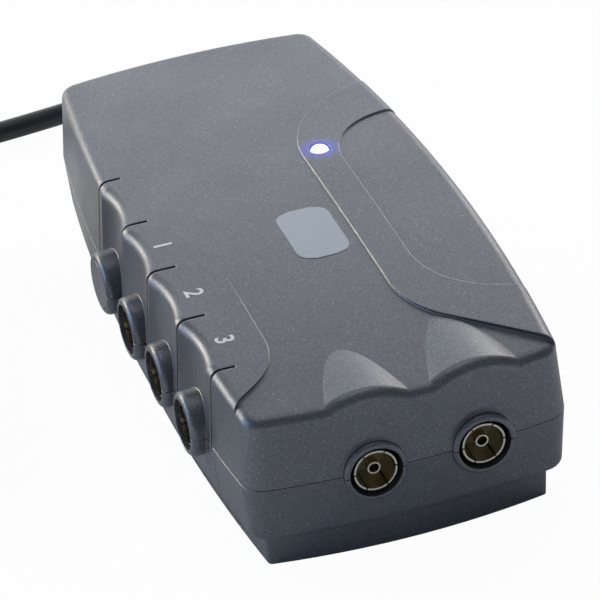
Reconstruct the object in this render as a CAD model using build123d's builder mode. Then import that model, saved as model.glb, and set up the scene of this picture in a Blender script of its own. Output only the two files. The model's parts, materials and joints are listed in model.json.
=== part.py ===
import os
from math import asin, cos, dist, pi, radians, tan

from build123d import *

# Aerial signal amplifier: two moulded covers on a parting plane through the socket centres, four side
# bosses (one blanked), two front sockets, a screened amplifier board and a mains supply inside.
# +Z is up, the two front sockets face -Y and the side sockets face -X.

# Housing form
housing_length = 172.0
housing_width = 83.0
side_bow = 5.2
end_bow = 3.3
plan_taper = 2.4
corner_round = 6.0
parting_height = 24.0
parting_gap = 0.25
upper_draft = 4.3
lower_draft = 4.6
wall = 2.0
overrun = 5.0

# Crowned top
crown_height = 45.3
crown_radius = 1230.0
field_start = -4.0
field_cut = -12.0
field_radius = 840.0
band_rise = 0.4
top_round = 2.6
roof = 2.3
inner_round = 1.0

# Raised band and stepped field, plan lines
band_left = 10.3
band_left_rear = 38.3
band_left_rear_slope = 0.378
band_left_front = -54.0
band_left_front_slope = 0.918
band_left_round_rear = 30.0
band_left_round_front = 25.0
band_right = 18.8
band_right_rear = 30.6
band_right_rear_slope = 0.0
band_right_front = -48.7
band_right_front_slope = 0.43
band_right_round_rear = 17.5
band_right_round_front = 23.0
field_left = -23.5
field_left_front = -63.2
field_left_slope = 0.784
field_left_round = 20.0

# Side bays: grooves, scallops and bosses
bay_pitch = 22.2
bay_first = 28.0
bay_count = 4
groove_width = 0.9
groove_depth = 1.2
groove_end = -33.0
lower_groove_width = 0.5
lower_groove_depth = 0.5
scallop_radius = 32.0
scallop_depth = 1.4
scallop_fade = 2.6
boss_radius = 7.8
boss_stand = 2.4
boss_round = 1.5
boss_length = 7.4
bore_radius = 6.2
bore_depth = 12.0
blank_head = 3.0
blank_stem_radius = 4.9
blank_gap = 0.25
blank_stem_gap = 0.15

# Front sockets: collars and brows
front_left_socket = -9.4
front_right_socket = 16.7
collar_radius = 7.75
collar_stand = 0.9
collar_round = 0.9
collar_length = 4.5
front_bore_radius = 6.4
brow_radii = [20.3, 20.8]
brow_reach = 30.0
brow_dip = 2.9
brow_round = 2.6

# Plinth and underside
plinth_height = 8.6
plinth_inset = 4.2
plinth_draft = 3.0
lower_round = 2.2
base = 2.0
rebate_inset = 1.0
rebate_height = 1.7
lip_gap = 0.15
lip_height = 1.3
lip_clearance = 0.3
keyhole_spacing = 110.0
keyhole_head = 4.2
keyhole_shank = 2.2
keyhole_run = 7.0
vent_width = 2.0
vent_length = 24.0
vent_pitch = 6.0
vent_count = 5
vent_y = 12.0

# Housing screws and posts
post_radius = 4.0
post_top = 41.6
post_places = [(-27.5, -71.5), (27.5, -71.5), (-24.5, 71.5), (24.5, 71.5)]
screw_radius = 1.5
screw_clearance = 0.2
screw_head_radius = 2.8
screw_head_height = 1.8
screw_recess_radius = 3.2
screw_recess_depth = 6.0
screw_length = 26.0
screw_slot_width = 0.8
screw_slot_depth = 0.8

# Circuit board and its screws
board_left = -29.0
board_right = 33.0
board_front = -66.5
board_rear = 66.0
board_thickness = 1.6
board_underside = 13.0
board_corner = 2.0
pillar_radius = 3.0
pillar_places = [(-22.5, -59.5), (29.0, -59.5), (-25.0, 61.0), (29.0, 61.0)]
board_screw_length = 7.0
board_screw_radius = 1.3
board_screw_head_radius = 2.4
board_screw_head_height = 1.6

# Screening can
can_left_margin = 14.0
can_right_margin = 16.5
can_front_margin = 21.5
can_rear = 4.0
can_height = 18.4
can_sheet = 0.5
can_hole_radius = 1.3
lid_lap = 2.4
lid_gap = 0.1

# Coaxial socket
ring_outer = 5.2
ring_inner = 4.75
ring_recess_side = 0.9
ring_recess_front = 0.9
slit_count = 6
slit_width = 0.4
slit_length = 7.0
slit_turn = 2.0
flange_radius = 6.0
flange_thickness = 1.0
flange_hole_radius = 2.0
insulator_depth = 8.0
insulator_length = 5.5
contact_outer = 1.55
contact_inner = 1.2
contact_recess = 1.2
contact_tail_radius = 0.6
contact_tail_reach = 3.0

# Lamp and its riser
lamp_x = 15.0
lamp_y = 19.5
lamp_radius = 2.5
lamp_stand = 0.5
lamp_round = 1.7
lamp_flange_radius = 2.95
lamp_flange_thickness = 1.0
lamp_hole_gap = 0.1
lamp_length = 8.6
riser_outer = 3.4
riser_inner = 1.8

# Mains transformer
core_width = 38.0
core_height = 25.4
core_stack = 16.0
core_limb = 6.35
core_x = -5.0
core_y = 45.0
core_foot = 0.8
core_foot_width = 8.0
bobbin_wall = 0.8
bobbin_flange = 1.2
winding_reach = 5.4
winding_inset = 0.6

# Supply parts on the board
capacitor_radius = 5.0
capacitor_height = 16.0
capacitor_places = [(24.2, 14.0), (24.2, 26.0)]
capacitor_round = 0.8
capacitor_dish = 0.4
bridge_radius = 4.0
bridge_height = 6.0
bridge_x = 5.6
bridge_y = 17.0
bridge_round = 0.6
sink_width = 20.0
sink_height = 20.0
sink_depth = 8.0
sink_sheet = 1.5
sink_x = -10.0
sink_y = 13.0
regulator_width = 10.0
regulator_thickness = 4.5
regulator_height = 15.0
regulator_tab = 1.3
regulator_body_height = 9.0
fuse_radius = 2.5
fuse_length = 20.0
fuse_cap_length = 5.0
fuse_cap_step = 0.1
fuse_x = 24.0
fuse_y = 47.0
fuse_rise = 4.0
clip_length = 4.0
clip_sheet = 0.5
terminal_width = 10.2
terminal_depth = 6.5
terminal_height = 9.0
terminal_rear = 66.5
terminal_screw_radius = 1.6
terminal_screw_depth = 3.0
terminal_pitch = 5.1
ferrite_outer = 4.0
ferrite_inner = 1.8
ferrite_length = 6.0
ferrite_round = 0.5
ferrite_places = [(-14.0, -46.0), (0.0, -40.0), (12.0, -46.0), (6.0, -12.0)]

# Strain relief in the rear wall
exit_height = 16.8
pad_radius = 6.8
pad_rear = 86.0
pad_front = 83.0
gland_hole_radius = 4.1
gland_flange_radius = 6.2
gland_flange_thickness = 1.8
gland_clip_radius = 5.2
gland_clip_thickness = 3.0
gland_root_radius = 5.0
gland_tip_radius = 4.1
gland_length = 15.3
gland_slot_width = 1.2
gland_slot_pitch = 2.4
gland_slot_count = 3
gland_wall = 0.3
lead_radius = 0.9
lead_offset = 1.6

# Mains cord: straight out of the strain relief, down and round to the left, then along the surface
cord_diameter = 5.5
cord_fit = 0.1
cord_route = [
    (0.0, 84.3, 16.8),
    (0.0, 116.2, 16.8),
    (-22.0, 134.8, 2.75),
    (-64.0, 131.0, 2.75),
    (-104.0, 123.5, 2.75),
    (-129.0, 97.0, 2.75),
    (-147.0, 65.0, 2.75),
    (-154.2, 33.0, 2.75),
    (-154.2, 8.0, 2.75),
]
tail_route = [
    (-79.984, 8.0, 8.95),
    (-79.984, 19.8, 8.95),
    (-84.3, 30.8, 8.95),
    (-84.3, 42.6, 8.95),
]
run_share = 0.45
coil_radius = 37.3
coil_step = 3.05
coil_half_turns = 4
coil_rise = 6.2
gap_samples = 800
gap_reach = 3

# Mains plug, lying on its back with the pins up
plug_length = 50.0
plug_width = 48.0
plug_end_width = 30.0
plug_waist_width = 26.0
plug_shoulder = 8.0
plug_flank = 26.0
plug_depth = 19.0
plug_corner = 6.0
plug_back_round = 4.0
plug_face_round = 0.8
boot_length = 24.0
boot_root_radius = 5.6
boot_tip_radius = 3.9
boot_bore = 8.0
pin_offset = 11.1
pin_row = -9.0
pin_spacing = 22.2
pin_width = 6.35
pin_thickness = 4.0
pin_length = 17.7
earth_width = 8.0
earth_length = 22.7
pin_seat = 8.0
pin_chamfer = 0.8
carrier_width = 11.0
carrier_length = 31.0
carrier_depth = 10.5
carrier_gap = 0.3
carrier_round = 0.8
plug_fuse_radius = 3.15
plug_fuse_length = 25.4
plug_fuse_cap_length = 5.5
plug_fuse_rise = 4.2

half_length = housing_length / 2
half_width = housing_width / 2
corner_x = half_width - side_bow
corner_y = half_length - end_bow
bay_centres = [bay_first - bay_pitch * (bay + 0.5) for bay in range(bay_count)]
groove_places = [bay_first - bay_pitch * edge for edge in range(bay_count + 1)]
blank_y = bay_centres[0]
side_sockets = bay_centres[1:]
front_sockets = [front_left_socket, front_right_socket]
boss_face = -half_width - boss_stand
collar_face = -half_length - collar_stand
wall_top = parting_height - parting_gap
board_top = board_underside + board_thickness
can_left = can_left_margin - half_width
can_right = half_width - can_right_margin
can_front = can_front_margin - half_length
can_top = board_top + can_height
lower_depth = parting_height - plinth_height
cord_radius = cord_diameter / 2

hang = (Align.CENTER, Align.CENTER, Align.MAX)
stand = (Align.CENTER, Align.CENTER, Align.MIN)
towards_left = (0, -90, 0)
towards_front = (90, 0, 0)
towards_rear = (-90, 0, 0)


def side_at(y):
    """Half width of the housing at the parting plane."""
    share = y / corner_y
    return half_width - side_bow * share**2 - plan_taper * share


def outline(grow):
    """Barrel outline of the housing, grown or shrunk all round."""
    front = corner_x + plan_taper + grow
    rear = corner_x - plan_taper + grow
    y = corner_y + grow
    with BuildSketch() as plan:
        with BuildLine():
            ThreePointArc((-front, -y), (0, -half_length - grow), (front, -y))
            ThreePointArc((front, -y), (half_width + grow, 0), (rear, y))
            ThreePointArc((rear, y), (0, half_length + grow), (-rear, y))
            ThreePointArc((-rear, y), (-half_width - grow, 0), (-front, -y))
        make_face()
        fillet(plan.vertices(), radius=max(corner_round + grow, inner_round))
    return plan.sketch


def cut_scallops(grow, height, tilt, align):
    """Hollow bays of the side wall, tilted from upright."""
    for y in bay_centres:
        x = scallop_depth - side_at(y) - scallop_radius
        with Locations(Location((x, y, parting_height), (0, tilt, 0))):
            Cylinder(scallop_radius - grow, height, align=align, mode=Mode.SUBTRACT)


def upper_form(grow, crown_y, top, radius, rounding):
    """Upper half of the housing as a closed form, from the parting plane to its crowned top."""
    with BuildPart() as form:
        with BuildSketch(Plane.XY.offset(parting_height)):
            add(outline(grow))
        extrude(amount=top - parting_height + overrun, taper=upper_draft)
        with BuildSketch(Plane.YZ):
            with Locations((crown_y, top - radius)):
                Circle(radius)
        extrude(amount=housing_width, both=True, mode=Mode.INTERSECT)
        cut_scallops(grow, top, upper_draft, stand)
        crown = form.faces().sort_by(Axis.Z)[-1]
        fillet(crown.edges(), radius=rounding)
    return form.part


def lower_form(grow, depth, rounding):
    """Lower half of the housing as a closed form, from the parting plane down to its lower edge."""
    with BuildPart() as form:
        with BuildSketch(Plane.XY.offset(parting_height)):
            add(outline(grow))
        extrude(amount=depth, dir=(0, 0, -1), taper=lower_draft)
        cut_scallops(grow, depth + overrun, scallop_fade, hang)
        underside = form.faces().sort_by(Axis.Z)[0]
        fillet(underside.edges(), radius=rounding)
    return form.part


def straight_form(grow, low, high):
    """Upright prism on the outline between two heights, with the bays."""
    with BuildPart() as form:
        with BuildSketch(Plane.XY.offset(low)):
            add(outline(grow))
        extrude(amount=high - low)
        cut_scallops(grow, housing_width, 0, (Align.CENTER, Align.CENTER, Align.CENTER))
    return form.part


def plinth_form(inset, low, high, draft):
    """Narrower plinth below the lower edge."""
    with BuildPart() as form:
        with BuildSketch(Plane.XY.offset(high)):
            add(outline(-inset))
        extrude(amount=high - low, dir=(0, 0, -1), taper=draft)
    return form.part


def right_of(x, rear, rear_slope, front, front_slope, rear_round, front_round):
    """Plan area to the right of a line that runs along the housing and turns out at both ends."""
    run = housing_width - x
    with BuildSketch() as area:
        with BuildLine():
            Polyline(
                (housing_width, rear + run * rear_slope),
                (x, rear),
                (x, front),
                (housing_width, front - run * front_slope),
                close=True,
            )
        make_face()
        fillet(area.vertices().sort_by_distance((x, rear))[0], radius=rear_round)
        fillet(area.vertices().sort_by_distance((x, front))[0], radius=front_round)
    return area.sketch


def upright(area):
    """Tall prism over a plan area, from the parting plane up."""
    with BuildPart() as prism:
        with BuildSketch(Plane.XY.offset(parting_height)):
            add(area)
        extrude(amount=crown_height)
    return prism.part


def brow(x, radius):
    """Raised arch over a front socket, dipping towards the rear."""
    with BuildPart() as arch:
        with BuildSketch(Plane.XY.offset(parting_height)):
            add(outline(0))
        extrude(amount=crown_height, taper=upper_draft)
        with Locations(Location((x, -half_length, parting_height), (-90 - brow_dip, 0, 0))):
            Cylinder(radius, 2 * brow_reach, mode=Mode.INTERSECT)
        rim = arch.edges().sort_by_distance((x, -half_length, parting_height + radius))[0]
        fillet(rim, radius=brow_round)
    return arch.part


def boss(y):
    """Round boss that carries a side socket through the wall."""
    with BuildPart() as stub:
        with Locations(Location((boss_face, y, parting_height), towards_left)):
            Cylinder(boss_radius, boss_length, align=hang)
        fillet(stub.edges().group_by(Axis.X)[0], radius=boss_round)
    return stub.part


def collar(x):
    """Low collar round a front socket."""
    with BuildPart() as stub:
        with Locations(Location((x, collar_face, parting_height), towards_front)):
            Cylinder(collar_radius, collar_length, align=hang)
        fillet(stub.edges().group_by(Axis.Y)[0], radius=collar_round)
    return stub.part


def add_stubs():
    """Bosses of the side sockets and collars of the front ones."""
    for y in bay_centres:
        add(boss(y))
    for x in front_sockets:
        add(collar(x))


def cut_bores():
    """Bores for the sockets, and a stepped one for the blanking plug."""
    for y in side_sockets:
        with Locations(Location((boss_face + bore_depth, y, parting_height), towards_left)):
            Cylinder(bore_radius, bore_depth + overrun, align=stand, mode=Mode.SUBTRACT)
    for x in front_sockets:
        with Locations(Location((x, collar_face + bore_depth, parting_height), towards_front)):
            Cylinder(front_bore_radius, bore_depth + overrun, align=stand, mode=Mode.SUBTRACT)
    with Locations(Location((boss_face + blank_head, blank_y, parting_height), towards_left)):
        Cylinder(bore_radius, blank_head + overrun, align=stand, mode=Mode.SUBTRACT)
    with Locations(Location((boss_face + bore_depth, blank_y, parting_height), towards_left)):
        Cylinder(blank_stem_radius, bore_depth, align=stand, mode=Mode.SUBTRACT)


def groove_slab(width):
    """Thin slabs where the wall is grooved between the bays."""
    with BuildPart() as slabs:
        for y in groove_places:
            with Locations((groove_end, y, 0)):
                Box(housing_width, width, housing_width, align=(Align.MAX, Align.CENTER, Align.MIN))
    return slabs.part


# Top cover: three levels of the crown, brows, bosses, collars and screw posts
right_of_a = right_of(
    band_left,
    band_left_rear,
    band_left_rear_slope,
    band_left_front,
    band_left_front_slope,
    band_left_round_rear,
    band_left_round_front,
)
right_of_b = right_of(
    band_right,
    band_right_rear,
    band_right_rear_slope,
    band_right_front,
    band_right_front_slope,
    band_right_round_rear,
    band_right_round_front,
)
left_of_c = mirror(
    right_of(
        -field_left,
        housing_length,
        0,
        field_left_front,
        field_left_slope,
        field_left_round,
        field_left_round,
    ),
    about=Plane.YZ,
)
with BuildSketch() as band_area:
    add(right_of_a)
    add(right_of_b, mode=Mode.SUBTRACT)
with BuildSketch() as field_area:
    with Locations((0, field_cut)):
        Rectangle(2 * housing_width, housing_length, align=(Align.CENTER, Align.MAX))
    add(right_of_a, mode=Mode.SUBTRACT)
    add(left_of_c, mode=Mode.SUBTRACT)

band_prism = upright(band_area.sketch)
field_prism = upright(field_area.sketch)

with BuildPart() as band_step:
    add(upper_form(0, 0, crown_height + band_rise, crown_radius + band_rise, top_round))
    add(band_prism, mode=Mode.INTERSECT)

with BuildPart() as field_step:
    add(upper_form(0, field_start, crown_height, field_radius, top_round))
    add(field_prism, mode=Mode.INTERSECT)

with BuildPart() as groove_cuts:
    add(groove_slab(groove_width))
    add(
        upper_form(
            -groove_depth,
            0,
            crown_height - groove_depth,
            crown_radius - groove_depth,
            top_round - groove_depth,
        ),
        mode=Mode.SUBTRACT,
    )

with BuildPart() as top_cover:
    add(upper_form(0, 0, crown_height, crown_radius, top_round))
    add(band_prism, mode=Mode.SUBTRACT)
    add(field_prism, mode=Mode.SUBTRACT)
    add(band_step.part)
    add(field_step.part)
    add(groove_cuts.part, mode=Mode.SUBTRACT)
    for x, radius in zip(front_sockets, brow_radii):
        add(brow(x, radius))
    add(
        upper_form(-wall, 0, crown_height - roof, crown_radius - roof, inner_round),
        mode=Mode.SUBTRACT,
    )
    add(
        straight_form(-rebate_inset, parting_height, parting_height + rebate_height),
        mode=Mode.SUBTRACT,
    )
    add_stubs()
    with BuildSketch(Plane.XY.offset(parting_height)):
        with Locations(post_places):
            Circle(post_radius)
    extrude(amount=post_top - parting_height)
    split(bisect_by=Plane.XY.offset(parting_height), keep=Keep.TOP)
    with BuildSketch(Plane.XY.offset(parting_height)):
        with Locations(post_places):
            Circle(screw_radius)
    extrude(amount=screw_recess_depth + screw_length - parting_height, mode=Mode.SUBTRACT)
    cut_bores()
    with Locations((lamp_x, lamp_y, parting_height)):
        Cylinder(lamp_radius + lamp_hole_gap, crown_height, align=stand, mode=Mode.SUBTRACT)
print("top cover", round(top_cover.part.volume), len(top_cover.solids()), top_cover.part.is_valid)

# Bottom cover: wall, plinth, floor, lip, pillars, posts and the pad of the strain relief
with BuildPart() as lower_grooves:
    add(groove_slab(lower_groove_width))
    add(
        lower_form(-lower_groove_depth, lower_depth, lower_round - lower_groove_depth),
        mode=Mode.SUBTRACT,
    )

with BuildPart() as lip:
    add(straight_form(-rebate_inset - lip_gap, wall_top, wall_top + lip_height))
    add(straight_form(-wall, wall_top, wall_top + lip_height), mode=Mode.SUBTRACT)
    for y in bay_centres:
        with Locations(Location((0, y, parting_height), towards_left)):
            Cylinder(boss_radius + lip_clearance, housing_width, align=stand, mode=Mode.SUBTRACT)
    for x in front_sockets:
        with Locations(Location((x, 0, parting_height), towards_front)):
            Cylinder(collar_radius + lip_clearance, housing_length, align=stand, mode=Mode.SUBTRACT)

with BuildPart() as bottom_cover:
    add(lower_form(0, lower_depth, lower_round))
    add(plinth_form(plinth_inset, 0, plinth_height + lower_round, plinth_draft))
    add(lower_form(-wall, lower_depth - base, inner_round), mode=Mode.SUBTRACT)
    add(
        plinth_form(plinth_inset + wall, base, plinth_height + wall + inner_round, plinth_draft),
        mode=Mode.SUBTRACT,
    )
    with BuildSketch(Plane.XY.offset(parting_height)):
        Rectangle(2 * housing_width, 2 * housing_length)
    extrude(amount=-parting_gap, mode=Mode.SUBTRACT)
    with Locations(Location((0, pad_front, exit_height), towards_rear)):
        Cylinder(pad_radius, pad_rear - pad_front, align=stand)
    add_stubs()
    split(bisect_by=Plane.XY.offset(wall_top), keep=Keep.BOTTOM)
    add(lower_grooves.part, mode=Mode.SUBTRACT)
    add(lip.part)
    with BuildSketch(Plane.XY.offset(base)):
        with Locations(pillar_places):
            Circle(pillar_radius)
    extrude(amount=board_underside - base)
    with BuildSketch(Plane.XY.offset(base)):
        with Locations(post_places):
            Circle(post_radius)
    extrude(amount=parting_height - base)
    with BuildSketch():
        with Locations(post_places):
            Circle(screw_radius + screw_clearance)
    extrude(amount=parting_height, mode=Mode.SUBTRACT)
    with BuildSketch():
        with Locations(post_places):
            Circle(screw_recess_radius)
    extrude(amount=screw_recess_depth, mode=Mode.SUBTRACT)
    with BuildSketch(Plane.XY.offset(board_underside)):
        with Locations(pillar_places):
            Circle(board_screw_radius)
    extrude(amount=board_thickness - board_screw_length, mode=Mode.SUBTRACT)
    cut_bores()
    with Locations(Location((0, pad_front - overrun, exit_height), towards_rear)):
        Cylinder(gland_hole_radius, 2 * overrun + wall, align=stand, mode=Mode.SUBTRACT)
    with BuildSketch():
        with GridLocations(0, keyhole_spacing, 1, 2):
            Circle(keyhole_head)
        with Locations((0, keyhole_run / 2)):
            with GridLocations(0, keyhole_spacing, 1, 2):
                SlotCenterToCenter(keyhole_run, 2 * keyhole_shank, rotation=90)
        with Locations((0, vent_y)):
            with GridLocations(vent_pitch, 0, vent_count, 1):
                SlotOverall(vent_length, vent_width, rotation=90)
    extrude(amount=base, mode=Mode.SUBTRACT)
print("bottom cover", round(bottom_cover.part.volume), len(bottom_cover.solids()))

# Blanking plug of the unused side socket
with BuildPart() as blanking_plug:
    with Locations(Location((boss_face, blank_y, parting_height), towards_left)):
        Cylinder(bore_radius - blank_gap, blank_head, align=hang)
        Cylinder(blank_stem_radius - blank_stem_gap, boss_length, align=hang)


def socket_shell(depth):
    """Slit spring ring on its flange, its front edge at the origin and its length along -Z."""
    with BuildPart() as shell:
        Cylinder(ring_outer, depth, align=hang)
        Cylinder(ring_inner, depth, align=hang, mode=Mode.SUBTRACT)
        with Locations((0, 0, flange_thickness - depth)):
            Cylinder(flange_radius, flange_thickness, align=hang)
            Cylinder(flange_hole_radius, flange_thickness, align=hang, mode=Mode.SUBTRACT)
        with PolarLocations(ring_outer, slit_count, start_angle=slit_turn):
            Box(ring_outer, slit_width, slit_length, align=hang, mode=Mode.SUBTRACT)
    return shell.part


def socket_insulator():
    """Insulating disc that centres the contact in the ring."""
    with BuildPart() as disc:
        with Locations((0, 0, -insulator_depth)):
            Cylinder(ring_inner, insulator_length, align=hang)
            Cylinder(contact_outer, insulator_length, align=hang, mode=Mode.SUBTRACT)
    return disc.part


def socket_contact(depth):
    """Centre contact tube and its tail through the screen."""
    tube_end = insulator_depth + insulator_length
    with BuildPart() as contact:
        with Locations((0, 0, -contact_recess)):
            Cylinder(contact_outer, tube_end - contact_recess, align=hang)
            Cylinder(contact_inner, insulator_depth, align=hang, mode=Mode.SUBTRACT)
        with Locations((0, 0, -tube_end)):
            Cylinder(contact_tail_radius, depth - tube_end + contact_tail_reach, align=hang)
    return contact.part


side_ring_edge = boss_face + ring_recess_side
side_ring_depth = can_left - side_ring_edge
front_ring_edge = collar_face + ring_recess_front
front_ring_depth = can_front - front_ring_edge

# Power lamp on its riser
lamp_top = crown_height + band_rise - lamp_y**2 / (2 * crown_radius) + lamp_stand
with BuildPart() as power_lamp:
    with Locations((lamp_x, lamp_y, lamp_top)):
        Cylinder(lamp_radius, lamp_length, align=hang)
    fillet(power_lamp.edges().group_by(Axis.Z)[-1], radius=lamp_round)
    with Locations((lamp_x, lamp_y, lamp_top - lamp_length)):
        Cylinder(lamp_flange_radius, lamp_flange_thickness, align=stand)

with BuildPart() as lamp_riser:
    with BuildSketch(Plane.XY.offset(board_top)):
        with Locations((lamp_x, lamp_y)):
            Circle(riser_outer)
            Circle(riser_inner, mode=Mode.SUBTRACT)
    extrude(amount=lamp_top - lamp_length - board_top)

# Circuit board on its pillars, and the screws that hold it
with BuildPart() as circuit_board:
    with BuildSketch(Plane.XY.offset(board_underside)):
        with Locations((board_left, board_front)):
            Rectangle(board_right - board_left, board_rear - board_front, align=Align.MIN)
        with Locations(pillar_places):
            Circle(board_screw_radius + screw_clearance, mode=Mode.SUBTRACT)
    extrude(amount=board_thickness)
    fillet(circuit_board.edges().filter_by(Axis.Z).group_by(Axis.X)[0], radius=board_corner)


def screws(places, seat, head_radius, head_height, radius, length, tip):
    """Slotted screws at some places; tip is 1 where they point up and -1 where they point down."""
    point, head = (stand, hang) if tip > 0 else (hang, stand)
    with BuildPart() as set_of_screws:
        for x, y in places:
            with Locations((x, y, seat)):
                Cylinder(head_radius, head_height, align=head)
                Cylinder(radius, length, align=point)
            with Locations((x, y, seat - tip * head_height)):
                Box(
                    2 * head_radius,
                    screw_slot_width,
                    screw_slot_depth,
                    align=point,
                    mode=Mode.SUBTRACT,
                )
    return set_of_screws


board_screws = screws(
    pillar_places,
    board_top,
    board_screw_head_radius,
    board_screw_head_height,
    board_screw_radius,
    board_screw_length,
    -1,
)
housing_screws = screws(
    post_places,
    screw_recess_depth,
    screw_head_radius,
    screw_head_height,
    screw_radius,
    screw_length,
    1,
)

# Screening can with its partition, and its lid
can_width = can_right - can_left
can_length = can_rear - can_front
can_place = ((can_left + can_right) / 2, (can_front + can_rear) / 2)
with BuildPart() as screening_can:
    with BuildSketch(Plane.XY.offset(board_top)):
        with Locations(can_place):
            Rectangle(can_width, can_length)
            Rectangle(can_width - 2 * can_sheet, can_length - 2 * can_sheet, mode=Mode.SUBTRACT)
            Rectangle(can_width, can_sheet)
    extrude(amount=can_height)
    for y in side_sockets:
        with Locations(Location((can_left + can_sheet, y, parting_height), towards_left)):
            Cylinder(can_hole_radius, can_sheet, align=stand, mode=Mode.SUBTRACT)
    for x in front_sockets:
        with Locations(Location((x, can_front + can_sheet, parting_height), towards_front)):
            Cylinder(can_hole_radius, can_sheet, align=stand, mode=Mode.SUBTRACT)

with BuildPart() as screening_lid:
    with Locations(can_place):
        with Locations((0, 0, can_top + can_sheet)):
            lid_width = can_width + 2 * (can_sheet + lid_gap)
            lid_length = can_length + 2 * (can_sheet + lid_gap)
            Box(lid_width, lid_length, lid_lap + can_sheet, align=hang)
        with Locations((0, 0, can_top)):
            Box(
                lid_width - 2 * can_sheet,
                lid_length - 2 * can_sheet,
                lid_lap,
                align=hang,
                mode=Mode.SUBTRACT,
            )

with BuildPart() as ferrite_cores:
    with BuildSketch(Plane.XY.offset(board_top)):
        with Locations(ferrite_places):
            Circle(ferrite_outer)
            Circle(ferrite_inner, mode=Mode.SUBTRACT)
    extrude(amount=ferrite_length)
    fillet(ferrite_cores.edges().group_by(Axis.Z)[-1], radius=ferrite_round)

# Mains transformer: core with two windows, bobbin and winding round the middle limb
core_low = board_top + core_foot
with BuildPart() as transformer_core:
    with BuildSketch(Plane.XZ.offset(-core_y - core_stack / 2)):
        with Locations((core_x, core_low)):
            Rectangle(core_width, core_height, align=(Align.CENTER, Align.MIN))
        with Locations((core_x, core_low + core_height / 2)):
            with GridLocations(3 * core_limb, 0, 2, 1):
                Rectangle(core_limb, core_height - 2 * core_limb, mode=Mode.SUBTRACT)
    extrude(amount=core_stack)
    with Locations((core_x, core_y, board_top)):
        with GridLocations(core_width - core_foot_width, 0, 2, 1):
            Box(core_foot_width, core_stack, core_foot, align=stand)

bobbin_height = core_height - 2 * core_limb
bobbin_width = 2 * core_limb
with BuildPart() as transformer_bobbin:
    with Locations((core_x, core_y, core_low + core_limb)):
        Box(
            bobbin_width + 2 * bobbin_wall,
            core_stack + 2 * bobbin_wall,
            bobbin_height,
            align=stand,
        )
        flange_size = (bobbin_width + 2 * winding_reach, core_stack + 2 * winding_reach)
        Box(*flange_size, bobbin_flange, align=stand)
    with Locations((core_x, core_y, core_low + core_limb + bobbin_height)):
        Box(*flange_size, bobbin_flange, align=hang)
    with Locations((core_x, core_y, core_low + core_limb)):
        Box(bobbin_width, core_stack, bobbin_height, align=stand, mode=Mode.SUBTRACT)

with BuildPart() as transformer_winding:
    with BuildSketch(Plane.XY.offset(core_low + core_limb + bobbin_flange)):
        with Locations((core_x, core_y)):
            RectangleRounded(
                bobbin_width + 2 * (winding_reach - winding_inset),
                core_stack + 2 * (winding_reach - winding_inset),
                winding_reach - winding_inset - bobbin_wall,
            )
            Rectangle(
                bobbin_width + 2 * bobbin_wall,
                core_stack + 2 * bobbin_wall,
                mode=Mode.SUBTRACT,
            )
    extrude(amount=bobbin_height - 2 * bobbin_flange)

# Supply parts between the screen and the transformer
with BuildPart() as smoothing_capacitors:
    with BuildSketch(Plane.XY.offset(board_top)):
        with Locations(capacitor_places):
            Circle(capacitor_radius)
    extrude(amount=capacitor_height)
    fillet(smoothing_capacitors.edges().group_by(Axis.Z)[-1], radius=capacitor_round)
    with BuildSketch(Plane.XY.offset(board_top + capacitor_height)):
        with Locations(capacitor_places):
            Circle(capacitor_radius - 2 * capacitor_round)
    extrude(amount=-capacitor_dish, mode=Mode.SUBTRACT)

with BuildPart() as bridge_rectifier:
    with Locations((bridge_x, bridge_y, board_top)):
        Cylinder(bridge_radius, bridge_height, align=stand)
    fillet(bridge_rectifier.edges().group_by(Axis.Z)[-1], radius=bridge_round)

with BuildPart() as heat_sink:
    with BuildSketch(Plane.XY.offset(board_top)):
        with Locations((sink_x, sink_y)):
            Rectangle(sink_width, sink_depth, align=(Align.CENTER, Align.MIN))
        with Locations((sink_x, sink_y + sink_sheet)):
            Rectangle(
                sink_width - 2 * sink_sheet,
                sink_depth,
                align=(Align.CENTER, Align.MIN),
                mode=Mode.SUBTRACT,
            )
    extrude(amount=sink_height)

with BuildPart() as voltage_regulator:
    with Locations((sink_x, sink_y + sink_sheet, board_top)):
        Box(
            regulator_width,
            regulator_tab,
            regulator_height,
            align=(Align.CENTER, Align.MIN, Align.MIN),
        )
        Box(
            regulator_width,
            regulator_thickness,
            regulator_body_height,
            align=(Align.CENTER, Align.MIN, Align.MIN),
        )

fuse_level = board_top + fuse_rise
with BuildPart() as supply_fuse:
    with Locations(Location((fuse_x, fuse_y, fuse_level), towards_rear)):
        Cylinder(fuse_radius - fuse_cap_step, fuse_length)
        with Locations((0, 0, (fuse_length - fuse_cap_length) / 2)):
            Cylinder(fuse_radius, fuse_cap_length)
        with Locations((0, 0, (fuse_cap_length - fuse_length) / 2)):
            Cylinder(fuse_radius, fuse_cap_length)

with BuildPart() as fuse_clips:
    for side in (-1, 1):
        middle = fuse_y + side * (fuse_length - fuse_cap_length) / 2
        with BuildSketch(Plane.XZ.offset(-middle - clip_length / 2)):
            with Locations((fuse_x, fuse_level)):
                Circle(fuse_radius + clip_sheet)
                Circle(fuse_radius, mode=Mode.SUBTRACT)
                Rectangle(
                    2 * fuse_radius,
                    2 * fuse_radius,
                    align=(Align.CENTER, Align.MIN),
                    mode=Mode.SUBTRACT,
                )
            with Locations((fuse_x, board_top)):
                Rectangle(
                    2 * clip_sheet,
                    fuse_rise - fuse_radius - clip_sheet / 2,
                    align=(Align.CENTER, Align.MIN),
                )
        extrude(amount=clip_length)

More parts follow.
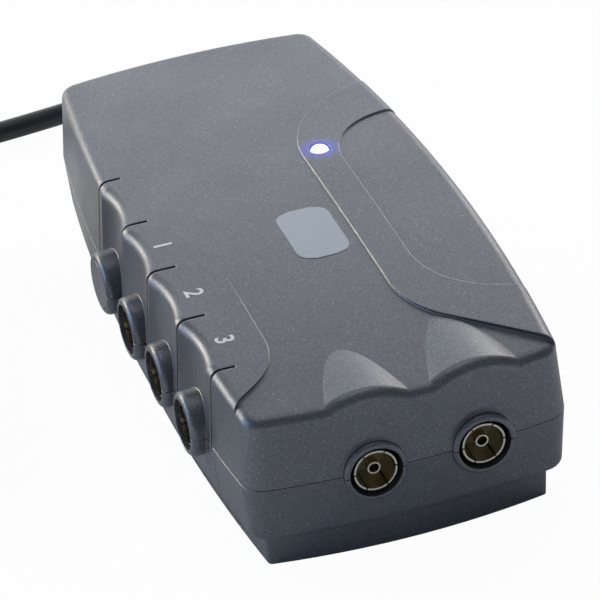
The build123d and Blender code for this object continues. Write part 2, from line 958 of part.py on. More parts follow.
with BuildPart() as terminal_block:
    with Locations((0, terminal_rear, board_top)):
        Box(
            terminal_width,
            terminal_depth,
            terminal_height,
            align=(Align.CENTER, Align.MAX, Align.MIN),
        )
    with Locations((0, terminal_rear - terminal_depth / 2, board_top + terminal_height)):
        with GridLocations(terminal_pitch, 0, 2, 1):
            Cylinder(
                terminal_screw_radius,
                terminal_screw_depth,
                align=hang,
                mode=Mode.SUBTRACT,
            )

# Strain relief, clipped through the pad of the rear wall, and the leads inside it
gland_end = pad_rear + gland_length
with BuildPart() as strain_relief:
    with Locations(Location((0, pad_front - gland_clip_thickness, exit_height), towards_rear)):
        Cylinder(gland_clip_radius, gland_clip_thickness, align=stand)
        Cylinder(
            gland_hole_radius,
            gland_clip_thickness + pad_rear - pad_front,
            align=stand,
        )
    with Locations(Location((0, pad_rear, exit_height), towards_rear)):
        Cylinder(gland_flange_radius, gland_flange_thickness, align=stand)
        Cone(gland_root_radius, gland_tip_radius, gland_length, align=stand)
    for number in range(gland_slot_count):
        side = 1 if number % 2 else -1
        along = pad_rear + gland_flange_thickness + gland_slot_pitch * (number + 1)
        with Locations((side * gland_root_radius, along, exit_height)):
            Box(
                2 * (gland_root_radius - cord_radius - gland_wall),
                gland_slot_width,
                2 * gland_root_radius,
                mode=Mode.SUBTRACT,
            )
    with Locations(Location((0, gland_end, exit_height), towards_front)):
        Cylinder(
            cord_radius + cord_fit,
            gland_end - cord_route[0][1],
            align=stand,
            mode=Mode.SUBTRACT,
        )

with BuildPart() as mains_leads:
    with GridLocations(2 * lead_offset, 0, 2, 1):
        with Locations(Location((0, terminal_rear, exit_height), towards_rear)):
            Cylinder(
                lead_radius,
                pad_front - gland_clip_thickness - terminal_rear,
                align=stand,
            )


def arc_radii(points):
    """Largest tangent arc at each inner point of a route, from the shorter of its two runs."""
    radii = []
    for before, here, after in zip(points, points[1:], points[2:]):
        first = Vector(*here) - Vector(*before)
        second = Vector(*after) - Vector(*here)
        half_turn = radians(first.get_angle(second)) / 2
        radii.append(run_share * min(first.length, second.length) / tan(half_turn))
    return radii


def cord_tube(points, name):
    """Tube along a route of straight runs and tangent arcs."""
    radii = arc_radii(points)
    with BuildPart() as tube:
        with BuildLine() as route:
            FilletPolyline(*points, radius=radii)
        with BuildSketch(Plane(origin=points[0], z_dir=route.line % 0)):
            Circle(cord_radius)
        sweep()
    length = route.wires()[0].length
    print(name, "radii", [round(radius, 1) for radius in radii])
    print(name, "length", round(length, 1), "by volume", round(tube.part.volume / pi / cord_radius**2, 1))
    return tube


mains_cord = cord_tube(cord_route, "mains cord")
cord_tail = cord_tube(tail_route, "cord tail")

# Coil: half turns that wind in, climb one layer where they reverse, and wind out above
coil_radii = [coil_radius - coil_step * turn for turn in range(coil_half_turns)]
climb_radius = coil_radius - coil_step * coil_half_turns
climb_tilt = asin(coil_rise / (2 * climb_radius))
x, y, z = cord_route[-1]
side = 1
with BuildLine() as coil_path:
    for radius in coil_radii:
        ThreePointArc((x, y, z), (x + side * radius, y - side * radius, z), (x + 2 * side * radius, y, z))
        x += 2 * side * radius
        side = -side
    across = side * climb_radius * cos(climb_tilt)
    middle = (x + across, y - side * climb_radius, z + coil_rise / 2)
    ThreePointArc((x, y, z), middle, (x + 2 * across, y, z + coil_rise))
    x += 2 * across
    z += coil_rise
    side = -side
    for radius in reversed(coil_radii):
        ThreePointArc((x, y, z), (x + side * radius, y - side * radius, z), (x + 2 * side * radius, y, z))
        x += 2 * side * radius
        side = -side
print("coil ends at", x, y, z, "tail starts at", tail_route[0])
with BuildPart() as cord_coil:
    with BuildSketch(Plane(origin=cord_route[-1], z_dir=(0, -1, 0))):
        Circle(cord_radius)
    sweep(path=coil_path.wires()[0])


def least_gap(path):
    """Least gap of a coiled tube to itself, between points some diameters apart along it."""
    spots = [tuple(path.position_at(step / gap_samples)) for step in range(gap_samples + 1)]
    apart = round(gap_reach * cord_diameter * gap_samples / path.length)
    nearest = min(
        dist(spot, other)
        for number, spot in enumerate(spots)
        for other in spots[number + apart :]
    )
    return nearest - cord_diameter


coil_length = coil_path.wires()[0].length
print("coil gap", round(least_gap(coil_path.wires()[0]), 2))
print("coil", round(coil_length, 1), "by volume", round(cord_coil.part.volume / pi / cord_radius**2, 1))

# Mains plug on its back: body with its boot, three pins, fuse carrier and fuse
lead_height = tail_route[-1][2]
boot_seat = boot_length - boot_bore
plug_place = Location((tail_route[-1][0], tail_route[-1][1] + boot_seat, 0), (0, 0, 180))
with BuildPart() as plug_body:
    with BuildSketch() as plug_plan:
        with BuildLine():
            Polyline(
                (-plug_end_width / 2, -plug_length),
                (plug_end_width / 2, -plug_length),
                (plug_width / 2, plug_flank - plug_length),
                (plug_width / 2, -plug_shoulder),
                (plug_waist_width / 2, 0),
                (-plug_waist_width / 2, 0),
                (-plug_width / 2, -plug_shoulder),
                (-plug_width / 2, plug_flank - plug_length),
                close=True,
            )
        make_face()
        fillet(plug_plan.vertices(), radius=plug_corner)
    extrude(amount=plug_depth)
    fillet(plug_body.faces().sort_by(Axis.Z)[0].edges(), radius=plug_back_round)
    fillet(plug_body.faces().sort_by(Axis.Z)[-1].edges(), radius=plug_face_round)
    with Locations(Location((0, -plug_corner, lead_height), towards_rear)):
        Cone(boot_root_radius, boot_tip_radius, boot_length + plug_corner, align=stand)
    with Locations(Location((0, boot_seat, lead_height), towards_rear)):
        Cylinder(cord_radius + cord_fit, boot_bore, align=stand, mode=Mode.SUBTRACT)
    with Locations((0, pin_row, plug_depth)):
        Box(
            carrier_width + 2 * carrier_gap,
            carrier_length + 2 * carrier_gap,
            carrier_depth + carrier_gap,
            align=hang,
            mode=Mode.SUBTRACT,
        )
        with GridLocations(2 * pin_offset, 0, 2, 1):
            Box(pin_width, pin_thickness, pin_seat, align=hang, mode=Mode.SUBTRACT)
        with Locations((0, -pin_spacing)):
            Box(pin_thickness, earth_width, pin_seat, align=hang, mode=Mode.SUBTRACT)

with BuildPart() as plug_pins:
    with Locations((0, pin_row, plug_depth - pin_seat)):
        with GridLocations(2 * pin_offset, 0, 2, 1):
            Box(pin_width, pin_thickness, pin_seat + pin_length, align=stand)
        with Locations((0, -pin_spacing)):
            Box(pin_thickness, earth_width, pin_seat + earth_length, align=stand)
    tips = plug_pins.faces().filter_by(Axis.Z).filter_by(lambda face: face.center().Z > plug_depth)
    chamfer(tips.edges(), length=pin_chamfer)

fuse_axis = plug_depth - carrier_depth + plug_fuse_rise
with BuildPart() as plug_fuse_carrier:
    with Locations((0, pin_row, plug_depth)):
        Box(carrier_width, carrier_length, carrier_depth, align=hang)
    fillet(plug_fuse_carrier.edges().filter_by(Axis.Z), radius=carrier_round)
    with Locations(Location((0, pin_row, fuse_axis), towards_rear)):
        Cylinder(plug_fuse_radius, plug_fuse_length, mode=Mode.SUBTRACT)
    with Locations((0, pin_row, fuse_axis)):
        Box(
            2 * plug_fuse_radius,
            plug_fuse_length,
            plug_fuse_rise,
            align=hang,
            mode=Mode.SUBTRACT,
        )

with BuildPart() as plug_fuse:
    with Locations(Location((0, pin_row, fuse_axis), towards_rear)):
        Cylinder(plug_fuse_radius - fuse_cap_step, plug_fuse_length)
        with GridLocations(0, 0, 1, 1):
            with Locations((0, 0, (plug_fuse_length - plug_fuse_cap_length) / 2)):
                Cylinder(plug_fuse_radius, plug_fuse_cap_length)
            with Locations((0, 0, (plug_fuse_cap_length - plug_fuse_length) / 2)):
                Cylinder(plug_fuse_radius, plug_fuse_cap_length)

pieces = {
    "top_cover": top_cover.part,
    "bottom_cover": bottom_cover.part,
    "blanking_plug": blanking_plug.part,
    "power_lamp": power_lamp.part,
    "lamp_riser": lamp_riser.part,
    "circuit_board": circuit_board.part,
    "board_screws": board_screws.part,
    "housing_screws": housing_screws.part,
    "screening_can": screening_can.part,
    "screening_lid": screening_lid.part,
    "ferrite_cores": ferrite_cores.part,
    "transformer_core": transformer_core.part,
    "transformer_bobbin": transformer_bobbin.part,
    "transformer_winding": transformer_winding.part,
    "smoothing_capacitors": smoothing_capacitors.part,
    "bridge_rectifier": bridge_rectifier.part,
    "heat_sink": heat_sink.part,
    "voltage_regulator": voltage_regulator.part,
    "supply_fuse": supply_fuse.part,
    "fuse_clips": fuse_clips.part,
    "terminal_block": terminal_block.part,
    "mains_leads": mains_leads.part,
    "strain_relief": strain_relief.part,
}
for number, y in enumerate(side_sockets, start=1):
    seat = Location((side_ring_edge, y, parting_height), towards_left)
    pieces[f"side_socket_{number}_shell"] = seat * socket_shell(side_ring_depth)
    pieces[f"side_socket_{number}_insulator"] = seat * socket_insulator()
    pieces[f"side_socket_{number}_contact"] = seat * socket_contact(side_ring_depth)
for number, x in enumerate(front_sockets, start=1):
    seat = Location((x, front_ring_edge, parting_height), towards_front)
    pieces[f"front_socket_{number}_shell"] = seat * socket_shell(front_ring_depth)
    pieces[f"front_socket_{number}_insulator"] = seat * socket_insulator()
    pieces[f"front_socket_{number}_contact"] = seat * socket_contact(front_ring_depth)

# The origin is the middle of the base of everything but the cord and what is on it
boxes = [piece.bounding_box() for name, piece in pieces.items() if name != "strain_relief"]
middle_x = (min(box.min.X for box in boxes) + max(box.max.X for box in boxes)) / 2
middle_y = (min(box.min.Y for box in boxes) + max(box.max.Y for box in boxes)) / 2
low_z = min(box.min.Z for box in boxes)
shift = Location((-middle_x, -middle_y, -low_z))
print("shift", round(-middle_x, 3), round(-middle_y, 3), round(-low_z, 3))

pieces |= {
    "mains_cord": mains_cord.part,
    "cord_coil": cord_coil.part,
    "cord_tail": cord_tail.part,
    "plug_body": plug_place * plug_body.part,
    "plug_pins": plug_place * plug_pins.part,
    "plug_fuse_carrier": plug_place * plug_fuse_carrier.part,
    "plug_fuse": plug_place * plug_fuse.part,
}
os.makedirs("parts", exist_ok=True)
for name, piece in pieces.items():
    placed = shift * piece
    placed.label = name
    export_step(placed, f"parts/{name}.step")
    print(name, len(placed.solids()), placed.is_valid, round(placed.volume, 1))
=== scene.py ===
import json
import math

import bmesh
import bpy
from mathutils import Matrix, Vector


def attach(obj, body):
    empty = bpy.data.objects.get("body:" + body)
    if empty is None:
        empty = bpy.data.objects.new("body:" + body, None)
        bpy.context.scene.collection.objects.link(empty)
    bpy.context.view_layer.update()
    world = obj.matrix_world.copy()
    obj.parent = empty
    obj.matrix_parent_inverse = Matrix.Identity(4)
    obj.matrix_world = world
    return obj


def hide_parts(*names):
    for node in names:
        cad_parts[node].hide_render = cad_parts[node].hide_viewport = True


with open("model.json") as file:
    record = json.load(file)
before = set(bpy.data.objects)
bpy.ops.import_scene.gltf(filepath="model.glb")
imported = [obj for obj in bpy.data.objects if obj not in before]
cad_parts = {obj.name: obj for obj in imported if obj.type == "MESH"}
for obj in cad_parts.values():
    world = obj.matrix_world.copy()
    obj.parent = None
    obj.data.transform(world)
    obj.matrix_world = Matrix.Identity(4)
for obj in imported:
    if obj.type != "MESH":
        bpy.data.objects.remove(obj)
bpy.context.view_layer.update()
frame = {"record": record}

mm = 0.001

# Where the housing's own middle lies in the frame
shift = Vector((1.063, 0.45, 0.0)) * mm


# Small helpers

def addObject(name, data):
    piece = bpy.data.objects.new(name, data)
    bpy.context.scene.collection.objects.link(piece)
    return piece


def linearColor(hexCode):
    # sRGB hex to linear, with alpha 1
    values = [int(hexCode[i:i + 2], 16) / 255 for i in (1, 3, 5)]
    return [v / 12.92 if v <= 0.04045 else ((v + 0.055) / 1.055) ** 2.4 for v in values] + [1.0]


def addNode(tree, kind, settings=None, inputs=None, links=None):
    # settings are the node's own, inputs are socket values, links are (from socket, to input)
    node = tree.nodes.new(kind)
    for name, value in (settings or {}).items():
        setattr(node, name, value)
    for name, value in (inputs or {}).items():
        node.inputs[name].default_value = value
    for socket, name in (links or []):
        tree.links.new(socket, node.inputs[name])
    return node


def startMaterial(name):
    material = bpy.data.materials.new(name)
    material.use_nodes = True
    tree = material.node_tree
    tree.nodes.clear()
    output = addNode(tree, "ShaderNodeOutputMaterial")
    shader = addNode(tree, "ShaderNodeBsdfPrincipled")
    tree.links.new(shader.outputs[0], output.inputs["Surface"])
    coords = addNode(tree, "ShaderNodeTexCoord").outputs["Object"]
    return material, tree, shader, coords


def noisePattern(tree, coords, sizeMm, detail):
    noise = addNode(tree, "ShaderNodeTexNoise", inputs={"Scale": 1 / (sizeMm * mm), "Detail": detail},
                    links=[(coords, "Vector")])
    return noise.outputs["Fac"]


def mapRange(tree, value, low, high, fromRange=(0.0, 1.0), smooth=False):
    ranged = addNode(tree, "ShaderNodeMapRange",
                     settings={"interpolation_type": "SMOOTHSTEP" if smooth else "LINEAR"},
                     inputs={"From Min": fromRange[0], "From Max": fromRange[1],
                             "To Min": low, "To Max": high},
                     links=[(value, "Value")])
    return ranged.outputs[0]


def colorRamp(tree, factor, stops):
    ramp = addNode(tree, "ShaderNodeValToRGB", links=[(factor, "Fac")])
    ramp.color_ramp.elements[0].position = stops[0][0]
    ramp.color_ramp.elements[0].color = linearColor(stops[0][1])
    ramp.color_ramp.elements[1].position = stops[-1][0]
    ramp.color_ramp.elements[1].color = linearColor(stops[-1][1])
    for place, hexCode in stops[1:-1]:
        ramp.color_ramp.elements.new(place).color = linearColor(hexCode)
    return ramp.outputs["Color"]


grainDetail = 3.0


def grainBump(tree, shader, coords, grainMm, depthMm, strength):
    grain = noisePattern(tree, coords, grainMm, grainDetail)
    bump = addNode(tree, "ShaderNodeBump", inputs={"Strength": strength, "Distance": depthMm * mm},
                   links=[(grain, "Height")])
    tree.links.new(bump.outputs["Normal"], shader.inputs["Normal"])
    return bump


# Camera at the photograph's angle, its place in mm from the housing's middle

cameraPlace = {"place": (-279.70, -964.25, 652.34), "right": (0.94417, -0.32176, -0.07083),
               "ahead": (0.23640, 0.81137, -0.53460), "lens": 295.55, "sensor": 36.0, "clipEnd": 10.0}


def placeCamera(c):
    data = bpy.data.cameras.new("photoCamera")
    data.lens = c["lens"]
    data.sensor_width = c["sensor"]
    data.sensor_fit = "HORIZONTAL"
    data.clip_end = c["clipEnd"]
    camera = addObject("photoCamera", data)
    right = Vector(c["right"]).normalized()
    back = -Vector(c["ahead"]).normalized()
    up = back.cross(right).normalized()
    turn = Matrix((right, up, back)).transposed()
    camera.matrix_world = Matrix.Translation(Vector(c["place"]) * mm + shift) @ turn.to_4x4()
    bpy.context.scene.camera = camera


placeCamera(cameraPlace)
print("camera placed")


# Mains cord: out of the strain relief, down to the surface, into the coil and on to the plug

# lengths: to the coil, in the coil, and from the coil to the plug
cordParts = {"diameter": 5.5, "coilRadius": 37.3, "coilStep": 3.05, "inwardTurns": 4, "rise": 6.2,
             "pointsPerHalfTurn": 8, "lengths": (272.1, 901.3, 35.2), "roundSteps": 6, "lineSteps": 6}
cordRoute = [(0.0, 84.3, 16.8), (0.0, 116.2, 16.8), (-22.0, 134.8, 2.75), (-64.0, 131.0, 2.75),
             (-104.0, 123.5, 2.75), (-129.0, 97.0, 2.75), (-147.0, 65.0, 2.75), (-154.2, 33.0, 2.75),
             (-154.2, 8.0, 2.75)]
tailRoute = [(-79.984, 8.0, 8.95), (-79.984, 19.8, 8.95), (-84.3, 30.8, 8.95), (-84.3, 42.6, 8.95)]


def coilPoints(c, start):
    # half turns that wind in, climb a layer where they reverse, and wind out above
    radii = [c["coilRadius"] - c["coilStep"] * turn for turn in range(c["inwardTurns"])]
    climb = c["coilRadius"] - c["coilStep"] * c["inwardTurns"]
    turns = [(radius, 0.0) for radius in radii]
    turns.append((climb, math.asin(c["rise"] / (2 * climb))))
    turns += [(radius, 0.0) for radius in reversed(radii)]
    x, y, z = start
    side = 1
    step = math.pi / c["pointsPerHalfTurn"]
    points = []
    for radius, slope in turns:
        outer = radius / math.cos(step / 2)       # the spline touches its control lines at their middles
        for number in range(c["pointsPerHalfTurn"]):
            angle = step * (number + 0.5)
            run = radius - outer * math.cos(angle)
            points.append((x + side * math.cos(slope) * run, y - side * outer * math.sin(angle),
                           z + math.sin(slope) * run))
        x += 2 * side * radius * math.cos(slope)
        z += 2 * radius * math.sin(slope)
        side = -side
    return points


def splineCurve(name, points, c):
    curve = bpy.data.curves.new(name, "CURVE")
    curve.dimensions = "3D"
    curve.bevel_depth = 1.0      # times each point's own radius, which also sets the curve's box
    curve.bevel_resolution = c["roundSteps"]
    curve.resolution_u = c["lineSteps"]
    curve.use_fill_caps = True
    spline = curve.splines.new("NURBS")
    spline.points.add(len(points) - 1)
    for point, place in zip(spline.points, points):
        point.co = (*(Vector(place) * mm + shift), 1.0)
        point.radius = c["diameter"] / 2 * mm
    spline.order_u = 3
    spline.use_endpoint_u = True
    return addObject(name, curve)


routePoints = cordRoute + coilPoints(cordParts, cordRoute[-1]) + tailRoute
mainsLead = splineCurve("mainsLead", routePoints, cordParts)
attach(mainsLead, "root")
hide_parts("mains_cord", "cord_coil", "cord_tail")
print("cord drawn")


# Materials, each named for what the real one is. Sizes are in mm, and ranges are of a pattern's 0 to 1

lampLens = {"middle": (15.0, 19.5, 45.0), "radius": 2.7, "body": "#c8dcff", "roughness": 0.2,
            "stops": [(0.0, "#ffffff"), (0.80, "#f0f6ff"), (0.90, "#4a40e0"), (1.0, "#221c98")],
            "glowReach": (2.2, 6.5), "glowStrength": 0.3, "glowColor": "#2a2cff"}
# the real flake is under 0.1 mm, and is drawn larger so that it shows; the edges have a radius of about 0.3 mm
housingSkin = {"flakeSize": 0.25, "flakeStops": (0.0, 0.5, 0.95, 1.0), "flakeMetal": 0.7,
               "roughness": 0.40, "roughnessDrift": 0.04, "driftSize": 18.0, "driftRange": (0.3, 0.7),
               "ior": 1.53, "edgeRadius": 0.35, "edgeSamples": 6, "edgeHighlightTurn": (0.98, 0.75),
               "edgeHighlightShare": 0.6, "edgeHighlightColor": "#c4c6c6",
               "grain": 0.5, "grainDepth": 0.04, "grainStrength": 0.3}
plasticSkin = {"driftGrains": 20, "driftDetail": 4.0, "driftRange": (0.3, 0.7), "ior": 1.5,
               "grainStrength": 0.3}
metalSkin = {"markDetail": 5.0, "markRange": (0.3, 0.7), "smoothest": 0.8, "roughest": 1.3,
             "markDepth": 0.01, "markStrength": 0.15}


def lensDistance(tree, coords):
    distance = addNode(tree, "ShaderNodeVectorMath", settings={"operation": "DISTANCE"}, links=[(coords, 0)])
    distance.inputs[1].default_value = Vector(lampLens["middle"]) * mm + shift
    return distance.outputs["Value"]


def mouldedHousing(name, dark, middle, light):
    # Moulded ABS with aluminium flake: silver grey with a fine glitter, a soft sheen, a faint mould grain and
    # a painted highlight along its edges
    c = housingSkin
    material, tree, shader, coords = startMaterial(name)
    flakes = addNode(tree, "ShaderNodeTexVoronoi", inputs={"Scale": 1 / (c["flakeSize"] * mm)},
                     links=[(coords, "Vector")])
    brightness = addNode(tree, "ShaderNodeSeparateColor", links=[(flakes.outputs["Color"], "Color")])
    color = colorRamp(tree, brightness.outputs[0],
                      list(zip(c["flakeStops"], (dark, middle, middle, light))))
    shader.inputs["Metallic"].default_value = c["flakeMetal"]
    shader.inputs["IOR"].default_value = c["ior"]

    # the sheen drifts a little from place to place, as on any moulding
    cloud = noisePattern(tree, coords, c["driftSize"], grainDetail)
    rough = mapRange(tree, cloud, c["roughness"] - c["roughnessDrift"],
                     c["roughness"] + c["roughnessDrift"], c["driftRange"])
    tree.links.new(rough, shader.inputs["Roughness"])

    # edges catch the light because the bevel rounds them, and a painted highlight lightens their colour
    edge = addNode(tree, "ShaderNodeBevel", settings={"samples": c["edgeSamples"]},
                   inputs={"Radius": c["edgeRadius"] * mm})
    bump = grainBump(tree, shader, coords, c["grain"], c["grainDepth"], c["grainStrength"])
    tree.links.new(edge.outputs["Normal"], bump.inputs["Normal"])
    face = addNode(tree, "ShaderNodeNewGeometry")
    turned = addNode(tree, "ShaderNodeVectorMath", settings={"operation": "DOT_PRODUCT"},
                     links=[(edge.outputs["Normal"], 0), (face.outputs["Normal"], 1)])
    # painted highlight: the colour is lightened towards a pale grey wherever the bevel turns the normal, along
    # every edge
    paintedEdgeHighlight = mapRange(tree, turned.outputs["Value"], 0.0, c["edgeHighlightShare"], c["edgeHighlightTurn"])
    tint = addNode(tree, "ShaderNodeMix", settings={"data_type": "RGBA"},
                   links=[(paintedEdgeHighlight, "Factor"), (color, 6)])
    tint.inputs[7].default_value = linearColor(c["edgeHighlightColor"])
    tree.links.new(tint.outputs[2], shader.inputs["Base Color"])

    # blue light of the lit lens on the cover round it
    near, far = lampLens["glowReach"]
    glow = mapRange(tree, lensDistance(tree, coords), lampLens["glowStrength"], 0.0,
                    (near * mm, far * mm), smooth=True)
    shader.inputs["Emission Color"].default_value = linearColor(lampLens["glowColor"])
    tree.links.new(glow, shader.inputs["Emission Strength"])
    return material


def plainPlastic(name, dark, light, roughness, grainMm, depthMm):
    # Moulded plastic: slight colour drift and a fine mould grain
    c = plasticSkin
    material, tree, shader, coords = startMaterial(name)
    drift = noisePattern(tree, coords, grainMm * c["driftGrains"], c["driftDetail"])
    low, high = c["driftRange"]
    tree.links.new(colorRamp(tree, drift, [(low, dark), (high, light)]), shader.inputs["Base Color"])
    shader.inputs["Roughness"].default_value = roughness
    shader.inputs["IOR"].default_value = c["ior"]
    grainBump(tree, shader, coords, grainMm, depthMm, c["grainStrength"])
    return material


def metal(name, dark, light, roughness, markMm):
    # Plated or rolled metal: bright, with fine marks that break up its reflections
    c = metalSkin
    material, tree, shader, coords = startMaterial(name)
    marks = noisePattern(tree, coords, markMm, c["markDetail"])
    low, high = c["markRange"]
    tree.links.new(colorRamp(tree, marks, [(low, dark), (high, light)]), shader.inputs["Base Color"])
    rough = mapRange(tree, marks, roughness * c["smoothest"], roughness * c["roughest"])
    tree.links.new(rough, shader.inputs["Roughness"])
    shader.inputs["Metallic"].default_value = 1.0
    grainBump(tree, shader, coords, markMm, c["markDepth"], c["markStrength"])
    return material


def litLens(name, c):
    # Diffuse epoxy lens of a blue-white lamp that is on: white in the middle, deep blue at its rim
    material, tree, shader, coords = startMaterial(name)
    ratio = mapRange(tree, lensDistance(tree, coords), 0.0, 1.0, (0.0, c["radius"] * mm))
    tree.links.new(colorRamp(tree, ratio, c["stops"]), shader.inputs["Emission Color"])
    shader.inputs["Emission Strength"].default_value = 1.0
    shader.inputs["Base Color"].default_value = linearColor(c["body"])
    shader.inputs["Roughness"].default_value = c["roughness"]
    return material


# By material slot. Housing: dark, middle and light flake. Plastic: two colours, roughness, grain and its depth.
# Metal: two colours, roughness, size of its marks
finishes = {
    "graphite_housing": mouldedHousing("absMetalFlake", "#5b5f66", "#6b7077", "#8c919a"),
    "graphite_plug": mouldedHousing("absMetalFlakeLight", "#61656c", "#73787f", "#9297a0"),
    "lamp_lens": litLens("epoxyLampLens", lampLens),
    "lamp_riser": plainPlastic("blackNylon", "#101012", "#17171a", 0.6, 0.4, 0.02),
    "circuit_board": plainPlastic("phenolicPaperBoard", "#8a6a2c", "#9a7835", 0.55, 0.6, 0.02),
    "zinc_screws": metal("zincPlatedSteel", "#a9a9a4", "#c9c9c4", 0.35, 0.3),
    "tinplate": metal("brightTinplate", "#b4b6b8", "#cfd1d3", 0.3, 0.8),
    "ferrite": plainPlastic("sinteredFerrite", "#1b1b1e", "#26262a", 0.7, 0.3, 0.03),
    "core_steel": metal("varnishedSteelLaminations", "#54565a", "#6b6d70", 0.5, 0.5),
    "bobbin_plastic": plainPlastic("whiteNylon", "#d6d3c4", "#e2dfd2", 0.5, 0.5, 0.02),
    "winding_tape": plainPlastic("polyesterTape", "#c79c2a", "#d8ad3a", 0.25, 2.0, 0.02),
    "capacitor_sleeve": plainPlastic("shrunkPvcSleeve", "#141c3a", "#1c2648", 0.3, 1.0, 0.01),
    "component_black": plainPlastic("mouldedEpoxy", "#0e0e10", "#17171a", 0.55, 0.2, 0.02),
    "aluminium_sheet": metal("plainAluminium", "#c0c2c4", "#d4d6d8", 0.4, 0.5),
    "fuse_glass": plainPlastic("fuseGlass", "#cfd6d6", "#e0e6e6", 0.12, 1.0, 0.0),
    "spring_brass": metal("springBrass", "#b08c48", "#cfae68", 0.35, 0.3),
    "terminal_plastic": plainPlastic("greenPolyamide", "#1f6a42", "#2a7a4e", 0.5, 0.3, 0.02),
    "lead_insulation": plainPlastic("pvcInsulation", "#5a3018", "#6a3c20", 0.4, 0.3, 0.01),
    "cord_black": plainPlastic("softPvcSheath", "#18191e", "#24262d", 0.42, 0.35, 0.02),
    "plug_black": plainPlastic("mouldedPvcPlug", "#121214", "#1c1c20", 0.42, 0.4, 0.03),
    "pin_brass": metal("brightBrass", "#c9a860", "#e0c27a", 0.22, 0.3),
    "carrier_plastic": plainPlastic("redPhenolic", "#7c1712", "#8c211a", 0.4, 0.4, 0.02),
    "fuse_ceramic": plainPlastic("glazedCeramic", "#ded6c2", "#eae3d2", 0.2, 0.6, 0.0),
    "nickel_ring": metal("brightNickel", "#c2bdb0", "#e2ddd0", 0.18, 0.3),
    # painted light: the socket insulator is coloured far lighter than the real dark polyethylene, standing in
    # for light that the deep socket hole lacks
    "socket_insulator": plainPlastic("darkPolyethylenePaintedLighter", "#948a64", "#a69c74", 0.5, 0.3, 0.02),
    "print": plainPlastic("padPrintInk", "#e2e9f0", "#eaf0f5", 0.5, 0.3, 0.004),
    "label": plainPlastic("paleFoilLabel", "#a8b4c2", "#b0bcc8", 0.42, 0.6, 0.004),
    "nickel_contact": metal("nickelPlatedBrass", "#c6c0ae", "#e6e0cf", 0.2, 0.3),
}
print("materials made:", len(finishes))


# Prints on the top: plain numbers by the side sockets and a bare label

crown = {"height": 45.3, "radius": 1230.0}
# the typeface's capitals are 0.7 of its size
numberPrint = {"height": 4.4, "capShare": 0.7, "weight": 0.12, "lift": 0.05,
               "places": [("1", (-33.3, -6.3)), ("2", (-32.8, -29.0)), ("3", (-32.2, -50.0))]}
labelPrint = {"length": 22.0, "width": 13.0, "corner": 4.0, "lift": 0.06, "place": (1.1, -15.9),
              "steps": 24}


def layOnCrown(name, mesh, lift, finish):
    # moves flat work onto the crowned top, which only curves along its length
    for vertex in mesh.vertices:
        y = vertex.co.y / mm
        vertex.co.z += (crown["height"] - y * y / (2 * crown["radius"]) + lift) * mm
        vertex.co += shift
    mesh.materials.append(finishes[finish])
    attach(addObject(name, mesh), "root")


def printNumber(c, text, place):
    curve = bpy.data.curves.new("number" + text, "FONT")
    curve.body = text
    curve.size = c["height"] / c["capShare"] * mm
    curve.offset = c["weight"] * mm
    curve.align_x = "CENTER"
    curve.align_y = "CENTER"
    letters = addObject("number" + text, curve)
    bpy.context.view_layer.update()
    mesh = bpy.data.meshes.new_from_object(letters)
    bpy.data.objects.remove(letters)
    mesh.transform(Matrix.Rotation(-math.pi / 2, 4, "Z"))
    mesh.transform(Matrix.Translation(Vector((*place, 0.0)) * mm))
    layOnCrown("printedNumber" + text, mesh, c["lift"], "print")


def placeLabel(c):
    # bare rounded label, in the place of the print that is left out
    sheet = bmesh.new()
    bmesh.ops.create_grid(sheet, x_segments=1, y_segments=c["steps"], size=0.5)
    for vertex in sheet.verts:
        along = vertex.co.y * c["length"]
        side = 1 if vertex.co.x > 0 else -1
        past = max(0.0, abs(along) - (c["length"] / 2 - c["corner"]))
        inset = c["corner"] - math.sqrt(max(0.0, c["corner"] ** 2 - past ** 2))
        vertex.co = (side * (c["width"] / 2 - inset) * mm, along * mm, 0.0)
        vertex.co.x += c["place"][0] * mm
        vertex.co.y += c["place"][1] * mm
    mesh = bpy.data.meshes.new("bareLabel")
    sheet.to_mesh(mesh)
    sheet.free()
    layOnCrown("bareLabel", mesh, c["lift"], "label")


for text, place in numberPrint["places"]:
    printNumber(numberPrint, text, place)
placeLabel(labelPrint)
print("numbers and label placed")


# Finishes on the CAD nodes and the cord

slotOf = {part["node"]: part["material_slot"] for part in frame["record"]["subparts"]}


def dressNode(node, slot):
    data = bpy.data.objects[node].data
    for number in range(max(1, len(data.materials))):
        if number < len(data.materials):
            data.materials[number] = finishes[slot]
        else:
            data.materials.append(finishes[slot])


for node, slot in slotOf.items():
    dressNode(node, slot)
mainsLead.data.materials.append(finishes["cord_black"])
print("finishes set on", len(slotOf), "nodes")


# Floor, light and background. The ellipses on the floor are in mm, and fade gives where each one's edge
# begins and ends, in its own radii. Lamps: name, place in metres, size in metres, power in watts, colour

studio = {"floorSize": 4.0, "floorColor": "#f4f4f4", "floorRoughness": 0.9, "floorGlow": 0.97,
          "foot": {"half": (36.0, 78.0), "middle": 0.0, "fade": (0.9, 1.0)},
          "shade": {"half": (60.0, 110.0), "middle": -70.0, "fade": (0.8, 3.0)},
          "worldColor": "#dfe6f0", "worldStrength": 0.27,
          "lamps": [("backdrop", (0.45, 1.70, 0.68), (3.0, 1.3), 17.5, "#ffffff"),
                    ("leftRear", (-1.10, 1.35, 0.46), (0.8, 0.7), 17.0, "#fff0dc"),
                    ("rightRear", (0.62, 0.60, 0.45), (0.4, 0.4), 1.5, "#fff0e0"),
                    ("leftWindow", (-1.25, 0.35, 0.42), (0.9, 0.9), 7.0, "#b6d3ff"),
                    ("ceiling", (0.1, 0.4, 1.8), (1.2, 1.2), 4.5, "#fffaf4")]}


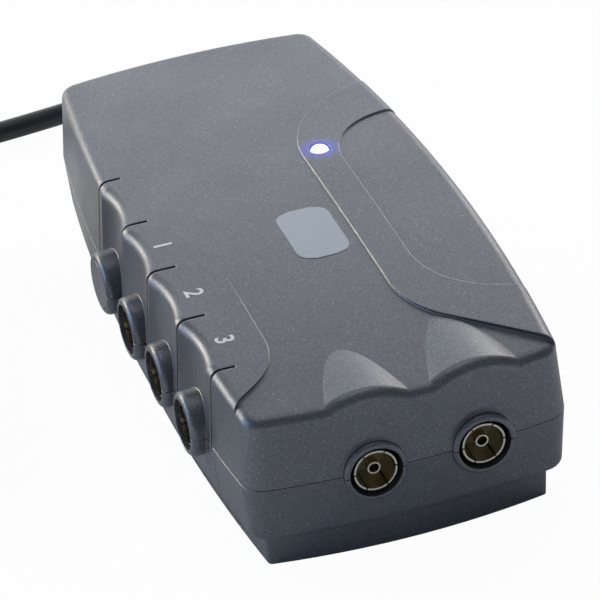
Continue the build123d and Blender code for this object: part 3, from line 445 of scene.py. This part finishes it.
def outsideEllipse(tree, coords, ellipse, glow):
    # 0 inside an ellipse on the floor, rising over its faded edge to the glow outside it
    halfX, halfY = ellipse["half"]
    place = addNode(tree, "ShaderNodeVectorMath", settings={"operation": "MULTIPLY_ADD"},
                    links=[(coords, 0)])
    place.inputs[1].default_value = (1 / (halfX * mm), 1 / (halfY * mm), 0.0)
    place.inputs[2].default_value = (0.0, -ellipse["middle"] / halfY, 0.0)
    reach = addNode(tree, "ShaderNodeVectorMath", settings={"operation": "LENGTH"},
                    links=[(place.outputs["Vector"], 0)])
    return mapRange(tree, reach.outputs["Value"], 0.0, glow, ellipse["fade"])


def joinValues(tree, operation, first, second):
    node = addNode(tree, "ShaderNodeMath", settings={"operation": operation},
                   links=[(first, 0), (second, 1)])
    return node.outputs[0]


def studioCard(c):
    # Pale card under the object. It is white to the eye except under the housing, and in reflections except
    # in the housing's shade, which falls to the front. The rest of its light is the plain card's
    material, tree, shader, coords = startMaterial("paleStudioCard")
    shader.inputs["Base Color"].default_value = linearColor(c["floorColor"])
    shader.inputs["Roughness"].default_value = c["floorRoughness"]
    path = addNode(tree, "ShaderNodeLightPath").outputs
    mirrored = joinValues(tree, "MAXIMUM", path["Is Glossy Ray"], path["Is Transmission Ray"])
    mirrored = joinValues(tree, "MULTIPLY", mirrored,
                          outsideEllipse(tree, coords, c["shade"], c["floorGlow"]))
    seen = joinValues(tree, "MULTIPLY", path["Is Camera Ray"],
                      outsideEllipse(tree, coords, c["foot"], c["floorGlow"]))
    share = joinValues(tree, "MAXIMUM", seen, mirrored)
    white = addNode(tree, "ShaderNodeEmission", inputs={"Color": (1.0, 1.0, 1.0, 1.0), "Strength": 1.0})
    mix = addNode(tree, "ShaderNodeMixShader",
                  links=[(share, "Fac"), (shader.outputs[0], 1), (white.outputs[0], 2)])
    output = next(node for node in tree.nodes if node.type == "OUTPUT_MATERIAL")
    tree.links.new(mix.outputs[0], output.inputs["Surface"])
    return material


def makeFloor(c):
    mesh = bpy.data.meshes.new("studioFloor")
    sheet = bmesh.new()
    bmesh.ops.create_grid(sheet, x_segments=1, y_segments=1, size=c["floorSize"] / 2)
    sheet.to_mesh(mesh)
    sheet.free()
    mesh.materials.append(studioCard(c))
    addObject("studioFloor", mesh)


def makeWorld(c):
    world = bpy.data.worlds.new("paleRoom")
    bpy.context.scene.world = world
    world.use_nodes = True
    tree = world.node_tree
    tree.nodes.clear()
    output = addNode(tree, "ShaderNodeOutputWorld")
    room = addNode(tree, "ShaderNodeBackground",
                   inputs={"Color": linearColor(c["worldColor"]), "Strength": c["worldStrength"]})
    tree.links.new(room.outputs[0], output.inputs["Surface"])


def addLamp(name, place, size, power, hexCode):
    # an area lamp that faces the object at the origin
    data = bpy.data.lights.new(name, "AREA")
    data.shape = "RECTANGLE"
    data.size, data.size_y = size
    data.energy = power
    data.color = linearColor(hexCode)[:3]
    lamp = addObject(name, data)
    lamp.location = place
    lamp.rotation_euler = Vector(place).to_track_quat("Z", "Y").to_euler()


makeFloor(studio)
makeWorld(studio)
for lampSettings in studio["lamps"]:
    addLamp(*lampSettings)
bpy.context.scene.view_settings.view_transform = "Standard"
print("stage and lamps ready")
